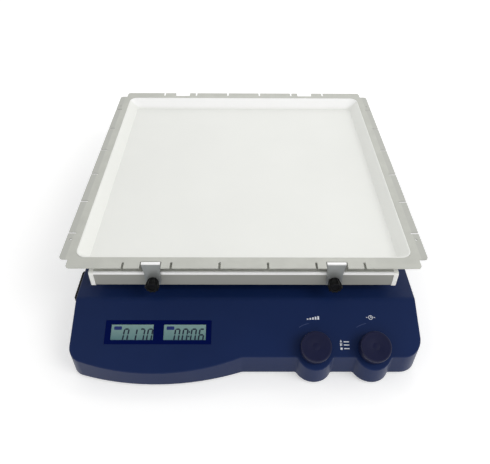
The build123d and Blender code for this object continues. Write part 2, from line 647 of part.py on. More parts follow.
def bar_place(front):
    """Puts a bar made with its face at Y = 0 at the front or, turned round, at the back."""
    if front:
        return Pos(REST_X, TRAY_Y - BAR_FACE, 0)
    return Pos(REST_X, TRAY_Y + BAR_FACE, 0) * Rot(0, 0, 180)


def end_cap(front, side):
    """A moulded end cap with a plug that fits the bar's hollow."""
    start = BAR_LENGTH / 2 - CAP_THICKNESS
    cap = extrude(Plane.YZ.offset(start) * bar_profile(0.5), CAP_THICKNESS)
    cap = fillet(cap.faces().sort_by(Axis.X)[-1].edges(), 0.8)
    width = BAR_DEPTH - BAR_FRONT_WALL - PLATE_ENTRY - 5 - 2 * DISPLAY_GAP
    plug = Box(8, width, BAR_HEIGHT - 2 * BAR_WALL - 2 * DISPLAY_GAP)
    cap += Pos(start - 3, BAR_FRONT_WALL + DISPLAY_GAP + width / 2, (BAR_BOTTOM + BAR_TOP) / 2) * plug
    if side < 0:
        cap = mirror(cap, Plane.YZ)
    return bar_place(front) * cap


def platform_plate():
    """The plate between the bars, with a bearing boss for the crank pin and each idler, and lightening slots."""
    reach = BAR_FACE - BAR_DEPTH + PLATE_ENTRY
    plan = RectangleRounded(PLATE_WIDTH, 2 * reach, 4)
    for x in POCKET_XS:
        for y in (-POCKET_Y, POCKET_Y):
            plan -= Pos(x, y) * SlotOverall(POCKET_LENGTH, POCKET_WIDTH, rotation=90)
    plate = Pos(REST_X, TRAY_Y, 0) * slab(plan, PLATE_BOTTOM, PLATE_TOP)
    low = PIN_TOP - PIN_BEARING[1] - 1
    plate += upright(REST_X, TRAY_Y, low, PLATE_TOP, PIN_BEARING[0] + BEARING_WALL)
    plate -= upright(REST_X, TRAY_Y, low - 1, PLATE_TOP + 1, PIN_BEARING[0] + SEAT)
    for x, y in idler_sockets():
        low = PIN_TOP - IDLER_BEARING[1] - 1
        plate += upright(x, y, low, PLATE_TOP, IDLER_BEARING[0] + BEARING_WALL)
        plate -= upright(x, y, low - 1, PLATE_TOP + 1, IDLER_BEARING[0] + SEAT)
    return plate


def pin_bearing():
    """The platform's bearing on the crank pin."""
    outer, width = PIN_BEARING
    return bearing_ring(REST_X, TRAY_Y, PIN_TOP - width, outer, PIN_RADIUS + SEAT, width)


def socket_bearings():
    """The platform's four bearings on the idlers' upper pins."""
    outer, width = IDLER_BEARING
    made = [bearing_ring(x, y, PIN_TOP - width, outer, IDLER_RADIUS + SEAT, width) for x, y in idler_sockets()]
    return Compound(made)


def dish(low_half, high_half, low_z, high_z, corner):
    """A square dish form: a loft between two rounded squares, wider at the top."""
    low = Pos(0, 0, low_z) * RectangleRounded(2 * low_half, 2 * low_half, corner - (high_half - low_half) / 2)
    high = Pos(0, 0, high_z) * RectangleRounded(2 * high_half, 2 * high_half, corner)
    return loft([low, high], ruled=True)


def wall_half(level, inset):
    """Half the width of the tray's outer wall at a height, moved inward squarely by inset."""
    run = (TRAY_OPENING - TRAY_FLOOR) / 2
    lean = atan(run / TRAY_DEPTH)
    return TRAY_FLOOR / 2 + run * (level - BAR_TOP) / TRAY_DEPTH - inset / cos(lean)


def flange_plan():
    """The tray's flange from above: four outward strips with clamp notches, slots and small holes."""
    half = TRAY_OUTER / 2
    plan = Rectangle(FLANGE_LENGTH, TRAY_OUTER) + Rectangle(TRAY_OUTER, FLANGE_LENGTH - 6)
    outer = [v for v in plan.vertices() if max(abs(v.X), abs(v.Y)) > half - 0.1]
    plan = fillet(outer, FLANGE_CORNER)
    cuts = []
    for i in range(SLOT_COUNT):
        across = (i - (SLOT_COUNT - 1) / 2) * SLOT_PITCH_X
        along = (i - (SLOT_COUNT - 1) / 2) * SLOT_PITCH_Y
        for side in (-1, 1):
            cuts.append(Pos(across, side * half) * Rectangle(SLOT_WIDTH, 2 * SLOT_DEPTH))
            cuts.append(Pos(side * half, along) * Rectangle(2 * SLOT_DEPTH, SLOT_WIDTH))
    for sx in (-1, 1):
        for sy in (-1, 1):
            cuts.append(Pos(sx * NOTCH_X, sy * half) * Rectangle(NOTCH_WIDTH, 2 * NOTCH_DEPTH))
            cuts.append(Pos(sx * (half - 5), sy * FLANGE_HOLE_Y) * Circle(FLANGE_HOLE / 2))
    for cut in cuts:
        plan -= cut
    return plan


def tray():
    """The folded sheet-metal tray: flat floor, leaning walls and an outward slotted flange."""
    outer = dish(wall_half(BAR_TOP, 0), wall_half(FLANGE_TOP, 0), BAR_TOP, FLANGE_TOP, TRAY_CORNER)
    floor_z = BAR_TOP + SHEET
    inner = dish(wall_half(floor_z, SHEET), wall_half(FLANGE_TOP + 1, SHEET), floor_z, FLANGE_TOP + 1,
                 TRAY_CORNER - 1)
    made = outer + slab(flange_plan(), FLANGE_TOP - SHEET, FLANGE_TOP) - inner
    return Pos(REST_X, TRAY_Y, 0) * made


def tray_liner():
    """The white liner that covers the tray's floor and walls."""
    low = BAR_TOP + SHEET
    top = FLANGE_TOP - 0.2
    gap = SHEET + 0.1
    outer = dish(wall_half(low, gap), wall_half(top, gap), low, top, TRAY_CORNER - 1)
    floor_z = low + LINER_FLOOR
    inner = dish(wall_half(floor_z, gap + LINER_WALL), wall_half(top + 1, gap + LINER_WALL), floor_z, top + 1,
                 TRAY_CORNER - 2)
    return Pos(REST_X, TRAY_Y, 0) * (outer - inner)


def clamp_plate(side):
    """A flat clamp plate that stands in a notch of the flange and is held to the front bar."""
    low, high = CLAMP_SCREW_Z - CLAMP_TAIL, FLANGE_TOP
    half, waist = CLAMP_WIDTH / 2, CLAMP_WAIST / 2
    plan = make_face(Polyline((-half, high), (half, high), (half, high - 3), (waist, high - 14), (waist, low),
                              (-waist, low), (-waist, high - 14), (-half, high - 3), close=True))
    lower = [v for v in plan.vertices() if v.Y < low + 1]
    plan = fillet(lower, 7.0)
    plate = extrude(Plane.XZ * plan, CLAMP_THICKNESS)
    plate = fillet(plate.faces().sort_by(Axis.Z)[-1].edges().filter_by(Axis.X), 0.8)
    plate -= Pos(0, 0, CLAMP_SCREW_Z) * Rot(90, 0, 0) * Cylinder(SCREW_RADIUS + 0.2, 20)
    return Pos(REST_X + side * NOTCH_X, TRAY_Y - BAR_FACE, 0) * plate


def thumb_screw(side):
    """A thumb screw with a fluted grip that flares towards its outer end."""
    start = CLAMP_THICKNESS + FLAT_GAP
    half = [(0, start), (GRIP_NECK, start), (GRIP_RADIUS, start + 0.6 * GRIP_LENGTH),
            (GRIP_RADIUS, start + GRIP_LENGTH - 1), (GRIP_RADIUS - 1, start + GRIP_LENGTH), (0, start + GRIP_LENGTH)]
    grip = revolve(Plane.XZ * make_face(Polyline(*half, close=True)), Axis.Z)
    for i in range(GRIP_FLUTES):
        grip -= Rot(0, 0, 360 * i / GRIP_FLUTES) * Pos(GRIP_RADIUS + 1.0, 0, start + GRIP_LENGTH / 2) * Cylinder(
            1.7, GRIP_LENGTH + 2)
    grip -= Pos(0, 0, start + GRIP_LENGTH) * Cylinder(3.2, 1.2)
    grip += Pos(0, 0, (start - 6.5) / 2) * Cylinder(SCREW_RADIUS, start + 6.5)
    return Pos(REST_X + side * NOTCH_X, TRAY_Y - BAR_FACE, CLAMP_SCREW_Z) * Rot(90, 0, 0) * grip


def switch_frame():
    """The frame of the power switch, standing out of the left wall, with its case behind the wall."""
    wall_x = -HOUSING_WIDTH / 2
    frame = block(wall_x - SWITCH_PROUD, wall_x, SWITCH_Y - SWITCH_LENGTH / 2, SWITCH_Y + SWITCH_LENGTH / 2,
                  SWITCH_Z - SWITCH_HEIGHT / 2, SWITCH_Z + SWITCH_HEIGHT / 2)
    frame = chamfer(frame.faces().sort_by(Axis.X)[0].edges(), 1.5)
    frame += block(wall_x, wall_x + 18, SWITCH_Y - ROCKER_LENGTH / 2 - 2.5, SWITCH_Y + ROCKER_LENGTH / 2 + 2.5,
                   SWITCH_Z - ROCKER_HEIGHT / 2 - 1.6, SWITCH_Z + ROCKER_HEIGHT / 2 + 1.6)
    frame -= block(wall_x - 20, wall_x + 16, SWITCH_Y - ROCKER_LENGTH / 2 - FLAT_GAP,
                   SWITCH_Y + ROCKER_LENGTH / 2 + FLAT_GAP, SWITCH_Z - ROCKER_HEIGHT / 2 - FLAT_GAP,
                   SWITCH_Z + ROCKER_HEIGHT / 2 + FLAT_GAP)
    pivot = Pos(wall_x, SWITCH_Y, SWITCH_Z) * Cylinder(1.5, ROCKER_HEIGHT + 3)
    return frame + pivot


def power_rocker():
    """The rocker of the power switch, round about its pivot, with two faces that meet at a shallow angle."""
    keep = Pos(-ROCKER_LENGTH / 4 + 1, 0) * Rectangle(ROCKER_LENGTH / 2 + 4, ROCKER_LENGTH)
    drum = Circle(ROCKER_LENGTH / 2) & keep
    for side in (-1, 1):
        trim = Pos(-SWITCH_PROUD + 1.2, 0) * Rot(0, 0, side * ROCKER_ANGLE) * Pos(-20, side * 20) * Rectangle(40, 40)
        drum -= trim
    drum -= Circle(1.5 + RUNNING)
    made = Pos(0, 0, -ROCKER_HEIGHT / 2) * extrude(drum, ROCKER_HEIGHT)
    return Pos(-HOUSING_WIDTH / 2, SWITCH_Y, SWITCH_Z) * Rot(0, 0, ROCKER_ANGLE) * made


def power_inlet():
    """The mains inlet in the back wall: its flange, its socket with a tapered mouth and its fuse bay."""
    flange = Pos(INLET_X, INLET_Z) * RectangleRounded(INLET_WIDTH + 17, INLET_HEIGHT + 8, 4)
    made = extrude(Plane.XZ * flange, -2.5)
    body = Pos(INLET_X, INLET_Z) * Rectangle(INLET_WIDTH - 0.6, INLET_HEIGHT - 0.6)
    made = Pos(0, REAR_Y, 0) * made + Pos(0, REAR_Y - 26, 0) * extrude(Plane.XZ * body, -26)
    mouth_z = INLET_Z - DRAWER_HEIGHT / 2
    mouth = Pos(INLET_X, mouth_z) * Rectangle(24, 12)
    mouth = chamfer([v for v in mouth.vertices() if v.Y > mouth_z], 4)
    made -= Pos(0, REAR_Y - 15, 0) * extrude(Plane.XZ * mouth, -20)
    bay_z = INLET_Z + INLET_HEIGHT / 2 - DRAWER_HEIGHT / 2 - 0.8
    made -= block(INLET_X - 12, INLET_X + 12, REAR_Y - 22, REAR_Y + 5, bay_z - DRAWER_HEIGHT / 2 + 1,
                  bay_z + DRAWER_HEIGHT / 2 - 1)
    for side in (-1, 1):
        made -= Pos(INLET_X + side * 20, REAR_Y, INLET_Z) * Rot(90, 0, 0) * Cylinder(1.8, 30)
    return made


def inlet_pins():
    """The three blades of the mains inlet."""
    z = INLET_Z - DRAWER_HEIGHT / 2
    made = []
    for x, dz in ((-7, -1.5), (0, 1.8), (7, -1.5)):
        blade = block(INLET_X + x - 1, INLET_X + x + 1, REAR_Y - 15, REAR_Y - 3, z + dz - 2, z + dz + 2)
        made.append(blade)
    return Compound(made)


def fuse_drawer():
    """The fuse drawer above the inlet's socket, with a finger lip."""
    bay_z = INLET_Z + INLET_HEIGHT / 2 - DRAWER_HEIGHT / 2 - 0.8
    half = DRAWER_HEIGHT / 2 - 1 - FLAT_GAP
    made = block(INLET_X - 12 + FLAT_GAP, INLET_X + 12 - FLAT_GAP, REAR_Y - 20, REAR_Y + 3.2, bay_z - half,
                 bay_z + half)
    made -= block(INLET_X - 10, INLET_X + 10, REAR_Y - 18, REAR_Y - 2, bay_z - half + 1, bay_z + half + 1)
    return made + block(INLET_X - 6, INLET_X + 6, REAR_Y + 3.2, REAR_Y + 4.6, bay_z - half, bay_z - half + 1.6)


def inlet_screws():
    """The two screws of the mains inlet."""
    made = []
    for side in (-1, 1):
        head = Pos(0, 0, 3.4) * Cylinder(3, 1.8)
        shank = Pos(0, 0, -1.5) * Cylinder(1.65, 10)
        slot = Pos(0, 0, 4) * Box(7, 0.9, 1)
        made.append(Pos(INLET_X + side * 20, REAR_Y, INLET_Z) * Rot(-90, 0, 0) * (head + shank - slot))
    return Compound(made)


def pieces():
    """Every piece of the shaker by its node's name."""
    made = {
        "base_housing": base_housing(),
        "bottom_plate": bottom_plate(),
        "plate_screws": plate_screws(),
        "rubber_feet": rubber_feet(),
        "display_window": display_window(),
        "speed_display": display(DISPLAY_XS[0]),
        "time_display": display(DISPLAY_XS[1]),
        "display_board": display_board(),
        "encoder_board": encoder_board(),
        "main_bearings": main_bearings(),
        "idler_bearings": idler_bearings(),
        "drive_belt": drive_belt(),
        "motor_mount": motor_mount(),
        "mount_screws": mount_screws(),
        "motor_stator": motor_stator(),
        "motor_rotor": motor_rotor(),
        "motor_pulley": motor_pulley(),
        "control_board": control_board(),
        "power_board": power_board(),
        "eccentric_shaft": eccentric_shaft(),
        "driven_pulley": driven_pulley(),
        "counterweight": counterweight(),
        "platform_plate": platform_plate(),
        "pin_bearing": pin_bearing(),
        "socket_bearings": socket_bearings(),
        "front_bar": platform_bar(True),
        "rear_bar": platform_bar(False),
        "tray": tray(),
        "tray_liner": tray_liner(),
        "switch_frame": switch_frame(),
        "power_rocker": power_rocker(),
        "power_inlet": power_inlet(),
        "inlet_pins": inlet_pins(),
        "inlet_screws": inlet_screws(),
        "fuse_drawer": fuse_drawer(),
    }
    for name, x in zip(("speed", "time"), KNOB_XS):
        made[name + "_encoder"] = encoder(x)
        made[name + "_slider"] = encoder_slider(x)
        made[name + "_spindle"] = encoder_spindle(x)
        made[name + "_knob"] = control_knob(x)
    for name, side in (("left", -1), ("right", 1)):
        made[name + "_clamp"] = clamp_plate(side)
        made[name + "_thumb_screw"] = thumb_screw(side)
        made["front_" + name + "_cap"] = end_cap(True, side)
        made["rear_" + name + "_cap"] = end_cap(False, -side)
    for number, place in enumerate(IDLERS, 1):
        made[f"idler_crank_{number}"] = idler_crank(*place)
    return made


os.makedirs("parts", exist_ok=True)
for node, shape in pieces().items():
    export_step(shape, f"parts/{node}.step")
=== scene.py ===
"""An orbital shaker in a plain white studio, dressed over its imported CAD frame.

Lengths are in millimetres and become metres in the last step of each mesh. The studio, its lamps
and the camera are placed in metres.
"""
import math

import bmesh
import bpy
from mathutils import Matrix, Vector


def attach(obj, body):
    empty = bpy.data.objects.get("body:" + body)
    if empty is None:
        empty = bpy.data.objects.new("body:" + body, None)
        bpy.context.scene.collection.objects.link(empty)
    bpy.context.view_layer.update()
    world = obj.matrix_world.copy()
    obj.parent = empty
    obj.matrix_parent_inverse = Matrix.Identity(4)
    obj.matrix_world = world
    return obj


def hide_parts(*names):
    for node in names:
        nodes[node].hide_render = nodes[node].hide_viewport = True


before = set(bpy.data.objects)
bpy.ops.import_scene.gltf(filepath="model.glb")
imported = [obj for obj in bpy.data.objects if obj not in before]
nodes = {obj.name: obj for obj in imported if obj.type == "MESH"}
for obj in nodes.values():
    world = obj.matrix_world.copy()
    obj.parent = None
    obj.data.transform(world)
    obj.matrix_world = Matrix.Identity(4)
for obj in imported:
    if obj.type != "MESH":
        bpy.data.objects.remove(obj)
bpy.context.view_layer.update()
MM = 0.001
WHITE = (1, 1, 1, 1)

# Places that the CAD gives. The panel slopes down from the bend at the deck's front edge, and
# "down" is a distance along it from there. BAR_FACE and CLAMP_OUT are distances from the tray's
# middle, forward and to each side.

BEND_Y = -155.7
DECK_Z = 56.4
SLOPE = math.radians(23.4)
KNOB_DOWN = 54.7
KNOB_XS = {"speed": 72.1, "time": 133.3}
WINDOW_DOWN = 37.0
DISPLAY_XS = {"speed": -120.4, "time": -64.7}
DISPLAY_WIDTH = 45.0
DISPLAY_HEIGHT = 16.8
DISPLAY_FACE = -0.4
TRAY_X = -2.301
TRAY_Y = 36.439
BAR_FACE = 184.2
SCREW_Z = 80.0
CLAMP_OUT = 96.4
CLAMP_XS = {"left": TRAY_X - CLAMP_OUT, "right": TRAY_X + CLAMP_OUT}
ROCKER_CENTRE = (-185.0, -128.0, 35.0)
ROCKER_FACE = 4.8
ROCKER_LEAN = math.radians(5)


# Shader nodes

def linear(code):
    """A hexadecimal sRGB colour as linear values."""
    parts = [int(code[i:i + 2], 16) / 255 for i in (0, 2, 4)]
    return [c / 12.92 if c <= 0.04045 else ((c + 0.055) / 1.055) ** 2.4 for c in parts] + [1.0]


def shade(code, factor):
    """A hexadecimal colour made darker or lighter."""
    return [min(1.0, c * factor) for c in linear(code)[:3]] + [1.0]


def principled(name, colour, roughness, **inputs):
    """A new material with its principled shader set."""
    made = bpy.data.materials.new(name)
    made.use_nodes = True
    shader = made.node_tree.nodes["Principled BSDF"]
    shader.inputs["Base Color"].default_value = colour
    shader.inputs["Roughness"].default_value = roughness
    for key, value in inputs.items():
        shader.inputs[key.replace("_", " ")].default_value = value
    return made


def shader_input(made, key):
    """An input of a material's principled shader."""
    return made.node_tree.nodes["Principled BSDF"].inputs[key]


def feed(made, value, socket):
    """Links a socket to another one, or gives it a plain value."""
    if isinstance(value, bpy.types.NodeSocket):
        made.node_tree.links.new(value, socket)
    else:
        socket.default_value = value


def add(made, kind, inputs=None, **settings):
    """A node added to the tree of a material or the world, with its inputs fed."""
    node = made.node_tree.nodes.new(kind)
    for key, value in settings.items():
        setattr(node, key, value)
    for key, value in (inputs or {}).items():
        feed(made, value, node.inputs[key])
    return node


def maths(made, operation, *values):
    """The result of a math node."""
    node = add(made, "ShaderNodeMath", dict(enumerate(values)), operation=operation)
    return node.outputs[0]


def carried(made, value, before, after=(0.0, 1.0)):
    """A value carried over from one span to another, and held at its ends."""
    inputs = {"Value": value, "From Min": before[0], "From Max": before[1],
              "To Min": after[0], "To Max": after[1]}
    return add(made, "ShaderNodeMapRange", inputs).outputs["Result"]


def ramp(made, factor, *stops):
    """A colour ramp between two stops, each a position and a colour."""
    node = add(made, "ShaderNodeValToRGB", {"Fac": factor})
    for element, (position, colour) in zip(node.color_ramp.elements, stops):
        element.position = position
        element.color = colour
    return node.outputs["Color"]


def mixed(made, factor, first, second):
    """A mix of two colours."""
    inputs = {"Fac": factor, "Color1": first, "Color2": second}
    return add(made, "ShaderNodeMixRGB", inputs).outputs["Color"]


def coordinates(made, stretch=(1.0, 1.0, 1.0)):
    """Object coordinates in millimetres, stretched along an axis."""
    place = add(made, "ShaderNodeTexCoord").outputs["Object"]
    scale = [s / MM for s in stretch]
    return add(made, "ShaderNodeMapping", {"Vector": place, "Scale": scale}).outputs["Vector"]


def noise(made, vector, scale, detail=3.0, rough=0.5):
    """A noise texture with its scale per millimetre."""
    inputs = {"Vector": vector, "Scale": scale, "Detail": detail, "Roughness": rough}
    return add(made, "ShaderNodeTexNoise", inputs).outputs["Fac"]


# Looks that several materials share

NOISE_SPAN = (0.3, 0.7)  # where most values of a noise texture lie
BUMP_STRENGTH = 0.5


def vary_colour(made, factor, dark, light, low=0.35, high=0.65):
    """Drives the base colour from a texture, between two colours."""
    colour = ramp(made, factor, (low, dark), (high, light))
    feed(made, colour, shader_input(made, "Base Color"))


def vary_roughness(made, factor, low, high):
    """Drives the roughness from a texture."""
    value = carried(made, factor, NOISE_SPAN, (low, high))
    feed(made, value, shader_input(made, "Roughness"))


def bump(made, height, distance, strength=BUMP_STRENGTH):
    """Adds a fine relief; the distance is in millimetres."""
    inputs = {"Height": height, "Distance": distance * MM, "Strength": strength}
    normal = add(made, "ShaderNodeBump", inputs).outputs["Normal"]
    feed(made, normal, shader_input(made, "Normal"))


def speckled(name, code, roughness, spread, grain, depth, patch=0.02, swing=0.06, **inputs):
    """A material with soft patches of colour, varied roughness and a fine grain in relief."""
    made = principled(name, linear(code), roughness, **inputs)
    vector = coordinates(made)
    patches = noise(made, vector, patch, detail=4.0)
    vary_colour(made, patches, shade(code, 1 - spread), shade(code, 1 + spread))
    wear = noise(made, vector, patch * 3)
    vary_roughness(made, wear, roughness - swing / 2, roughness + swing / 2)
    bump(made, noise(made, vector, grain, detail=2.0), depth)
    return made


def brushed(name, code, roughness, stretch, spread=0.05, depth=0.01, **inputs):
    """Metal with fine lines drawn out along one axis."""
    made = principled(name, linear(code), roughness, **inputs)
    lines = noise(made, coordinates(made, stretch), 1.0, detail=6.0, rough=0.7)
    vary_colour(made, lines, shade(code, 1 - spread), shade(code, 1 + spread))
    vary_roughness(made, lines, roughness - 0.05, roughness + 0.07)
    bump(made, lines, depth)
    return made


def painted_light_band(made, axis, low, high, colour, middle=None):
    """Mixes another base colour in beyond a place on an axis, or beyond a distance from a middle.

    The change starts at low and is full at high. It stands in for light that the photograph
    shows there.
    """
    split = add(made, "ShaderNodeSeparateXYZ", {"Vector": coordinates(made)})
    along = split.outputs[axis]
    if middle is not None:
        along = maths(made, "ABSOLUTE", maths(made, "SUBTRACT", along, middle))
    target = shader_input(made, "Base Color")
    share = carried(made, along, (low, high))
    feed(made, mixed(made, share, target.links[0].from_socket, colour), target)


# Materials

paint = speckled("housing_paint", "13254f", 0.36, spread=0.05, patch=0.012, grain=1.6, depth=0.03,
                 swing=0.05, Specular_IOR_Level=0.2)
window = speckled("window_blue", "000c44", 0.2, spread=0.03, grain=0.4, depth=0.004, swing=0.03,
                  Specular_IOR_Level=0.08)
knob_plastic = speckled("knob_plastic", "161937", 0.34, spread=0.05, patch=0.08, grain=3.0,
                        depth=0.015, Specular_IOR_Level=0.25)
black_plastic = speckled("black_plastic", "08080a", 0.4, spread=0.12, patch=0.1, grain=2.5,
                         depth=0.02, Specular_IOR_Level=0.18)
frame_black = speckled("frame_black", "040405", 0.5, spread=0.1, patch=0.1, grain=2.5, depth=0.01,
                       Specular_IOR_Level=0.08)
gloss_black = speckled("gloss_black", "101014", 0.18, spread=0.08, patch=0.1, grain=1.0,
                       depth=0.004, swing=0.04)
rubber = speckled("rubber", "151515", 0.75, spread=0.15, patch=0.2, grain=2.0, depth=0.06)
tray_metal = speckled("tray_metal", "c3c4bd", 0.5, spread=0.035, patch=0.05, grain=1.4, depth=0.02,
                      swing=0.08, Metallic=0.25)
liner = speckled("liner_white", "f1f2ee", 0.42, spread=0.012, patch=0.008, grain=0.9, depth=0.02,
                 Specular_IOR_Level=0.4)
cap_white = speckled("cap_white", "fefefa", 0.35, spread=0.02, patch=0.1, grain=1.2, depth=0.01,
                     swing=0.05)
bar_metal = brushed("bar_aluminium", "a6a6a0", 0.42, (0.02, 3.0, 3.0), spread=0.03, depth=0.005,
                    Metallic=0.15)
clamp_metal = brushed("clamp_steel", "a3a6a5", 0.4, (2.5, 2.5, 0.06), depth=0.006, Metallic=0.6)
cast_metal = speckled("cast_aluminium", "b4b6b6", 0.45, spread=0.05, patch=0.05, grain=0.8,
                      depth=0.05, Metallic=0.8)
sheet_metal = brushed("sheet_steel", "a6a9aa", 0.4, (0.05, 1.5, 1.5), spread=0.06, Metallic=0.85)
screw_metal = brushed("screw_steel", "b0b2b2", 0.32, (1.5, 1.5, 1.5), spread=0.08, Metallic=0.9)
shaft_metal = brushed("shaft_steel", "b5b6b8", 0.25, (1.0, 1.0, 6.0), spread=0.04, Metallic=1.0)
iron = speckled("weight_iron", "4a4a4c", 0.6, spread=0.15, patch=0.1, grain=0.7, depth=0.12,
                Metallic=0.4)
motor_iron = speckled("motor_iron", "2b2b2f", 0.45, spread=0.12, patch=0.1, grain=1.0, depth=0.05,
                      Metallic=0.3)
board_green = speckled("board_green", "0f4a2c", 0.35, spread=0.15, patch=0.15, grain=0.6,
                       depth=0.03)
brass = brushed("pin_brass", "c2b27e", 0.3, (1.0, 6.0, 1.0), Metallic=0.95)
ink_white = speckled("ink_white", "dfe2ea", 0.5, spread=0.03, patch=0.3, grain=3.0, depth=0.005)
ink_faint = speckled("ink_faint", "46557e", 0.45, spread=0.05, patch=0.3, grain=3.0, depth=0.005)
segment_ink = speckled("segment_ink", "101a30", 0.3, spread=0.08, patch=0.3, grain=3.0,
                       depth=0.003)
tag_ink = speckled("tag_ink", "1a2a6a", 0.3, spread=0.05, patch=0.3, grain=3.0, depth=0.003)

# Painted highlight: the liner's rear wall is painted whiter, for the light that falls on it from
# the front.
painted_light_band(liner, "Y", 203.5, 206.0, WHITE)  # the rear wall
# Painted shade: the outer parts of the side flanges are painted a darker grey, in place of a
# crease that turns them from the light.
painted_light_band(tray_metal, "X", 185.6, 186.4, linear("bbbcb6"), TRAY_X)  # the side flanges' outer parts
# Painted highlight: the rounded upper edges of the bars are painted white.
painted_light_band(bar_metal, "Z", 85.4, 85.9, WHITE)  # the upper edges
# Painted light: the bars' top faces are painted a paler grey than the bar, to lighten them where
# the tray's flange shades them.
painted_light_band(bar_metal, "Z", 88.3, 88.45, linear("c4c4be"))  # the top faces
# Painted highlight: the upper edges of the clamps are painted white.
painted_light_band(clamp_metal, "Z", 103.9, 104.4, WHITE)  # the upper edges


def display_material():
    """The grey-green face of a liquid-crystal display, paler towards its upper edge."""
    lower_edge, upper_edge = -198.0, -181.0
    height_share, cloud_share = 0.7, 0.3
    made = principled("display_grey", linear("86a19a"), 0.25, Specular_IOR_Level=0.2)
    vector = coordinates(made)
    split = add(made, "ShaderNodeSeparateXYZ", {"Vector": vector})
    height = carried(made, split.outputs["Y"], (lower_edge, upper_edge))
    cloud = maths(made, "MULTIPLY", noise(made, vector, 0.12), cloud_share)
    total = maths(made, "MULTIPLY_ADD", height, height_share, cloud)
    vary_colour(made, total, linear("587a7e"), linear("839f9b"), low=0.1, high=0.9)
    bump(made, noise(made, vector, 0.5), 0.002, strength=0.4)
    return made


display_grey = display_material()

# The nodes of the CAD that wear each material

WORN = (
    (paint, "base_housing"),
    (window, "display_window"),
    (display_grey, "speed_display time_display"),
    (knob_plastic, "speed_knob time_knob"),
    (black_plastic, "speed_slider time_slider left_thumb_screw right_thumb_screw power_inlet "
                    "fuse_drawer"),
    (frame_black, "switch_frame"),
    (gloss_black, "power_rocker"),
    (rubber, "rubber_feet drive_belt"),
    (tray_metal, "tray"),
    (liner, "tray_liner"),
    (cap_white, "front_left_cap front_right_cap rear_left_cap rear_right_cap"),
    (bar_metal, "front_bar rear_bar"),
    (clamp_metal, "left_clamp right_clamp"),
    (cast_metal, "platform_plate driven_pulley motor_pulley"),
    (sheet_metal, "bottom_plate motor_mount"),
    (screw_metal, "plate_screws mount_screws inlet_screws speed_encoder time_encoder "
                  "speed_spindle time_spindle"),
    (shaft_metal, "eccentric_shaft main_bearings pin_bearing idler_bearings socket_bearings "
                  "idler_crank_1 idler_crank_2 idler_crank_3 idler_crank_4"),
    (iron, "counterweight"),
    (motor_iron, "motor_stator motor_rotor"),
    (board_green, "control_board power_board display_board encoder_board"),
    (brass, "inlet_pins"),
)
finishes = {name: finish for finish, names in WORN for name in names.split()}
for name, piece in nodes.items():
    piece.data.materials.clear()
    piece.data.materials.append(finishes[name])


# Places and meshes

PANEL = Matrix((
    (1, 0, 0, 0),
    (0, math.cos(SLOPE), -math.sin(SLOPE), BEND_Y),
    (0, math.sin(SLOPE), math.cos(SLOPE), DECK_Z),
    (0, 0, 0, 1),
))
WELD = 1e-5
PRINT_SMOOTH = 20.0


def on_panel(x, down):
    """The place on the sloping panel, with its own Z square to the panel."""
    return PANEL @ Matrix.Translation((x, -down, 0.0))


def put(name, data):
    """A new object in the scene."""
    piece = bpy.data.objects.new(name, data)
    bpy.context.scene.collection.objects.link(piece)
    return piece


def finish_mesh(name, mesh, place, material, body, smooth=PRINT_SMOOTH):
    """Puts a bmesh into the scene as a piece that rides on a body."""
    bmesh.ops.remove_doubles(mesh, verts=mesh.verts, dist=WELD)
    bmesh.ops.recalc_face_normals(mesh, faces=mesh.faces)
    mesh.transform(Matrix.Scale(MM, 4) @ place)
    data = bpy.data.meshes.new(name)
    mesh.to_mesh(data)
    mesh.free()
    data.materials.append(material)
    piece = put(name, data)
    data.shade_smooth()
    data.set_sharp_from_angle(angle=math.radians(smooth))
    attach(piece, body)
    return piece


LATHE_SIDES = 96
FLUTE_POWER = 0.7  # below one, a flute is wider than the ridge beside it


def lathe(profile, flutes=0, depth=0.0, fluted=None):
    """A closed solid of revolution about Z, fluted where a test on radius and height allows."""
    mesh = bmesh.new()
    rings = []
    for radius, height in profile:
        if radius == 0:
            rings.append([mesh.verts.new((0, 0, height))])
            continue
        ring = []
        for i in range(LATHE_SIDES):
            turn = 2 * math.pi * i / LATHE_SIDES
            r = radius
            if flutes and fluted(radius, height):
                wave = 0.5 - 0.5 * math.cos(flutes * turn)
                r -= depth * wave ** FLUTE_POWER
            ring.append(mesh.verts.new((r * math.cos(turn), r * math.sin(turn), height)))
        rings.append(ring)
    for low, high in zip(rings, rings[1:]):
        for i in range(LATHE_SIDES):
            j = (i + 1) % LATHE_SIDES
            if len(low) == 1:
                mesh.faces.new((low[0], high[i], high[j]))
            elif len(high) == 1:
                mesh.faces.new((low[i], low[j], high[0]))
            else:
                mesh.faces.new((low[i], low[j], high[j], high[i]))
    return mesh


def arc(centre, radius, start, end, steps):
    """Points of an arc in a plane; the angles are in degrees."""
    turns = [math.radians(start + (end - start) * i / steps) for i in range(steps + 1)]
    return [(centre[0] + radius * math.cos(a), centre[1] + radius * math.sin(a)) for a in turns]


def flat(mesh, points, low, high):
    """Adds a flat plate with a given outline to a bmesh."""
    bottom = [mesh.verts.new((x, y, low)) for x, y in points]
    top = [mesh.verts.new((x, y, high)) for x, y in points]
    mesh.faces.new(bottom[::-1])
    mesh.faces.new(top)
    count = len(points)
    for i in range(count):
        j = (i + 1) % count
        mesh.faces.new((bottom[i], bottom[j], top[j], top[i]))


def oblong(mesh, x0, y0, x1, y1, low, high):
    """Adds a flat rectangular plate to a bmesh."""
    flat(mesh, [(x0, y0), (x1, y0), (x1, y1), (x0, y1)], low, high)


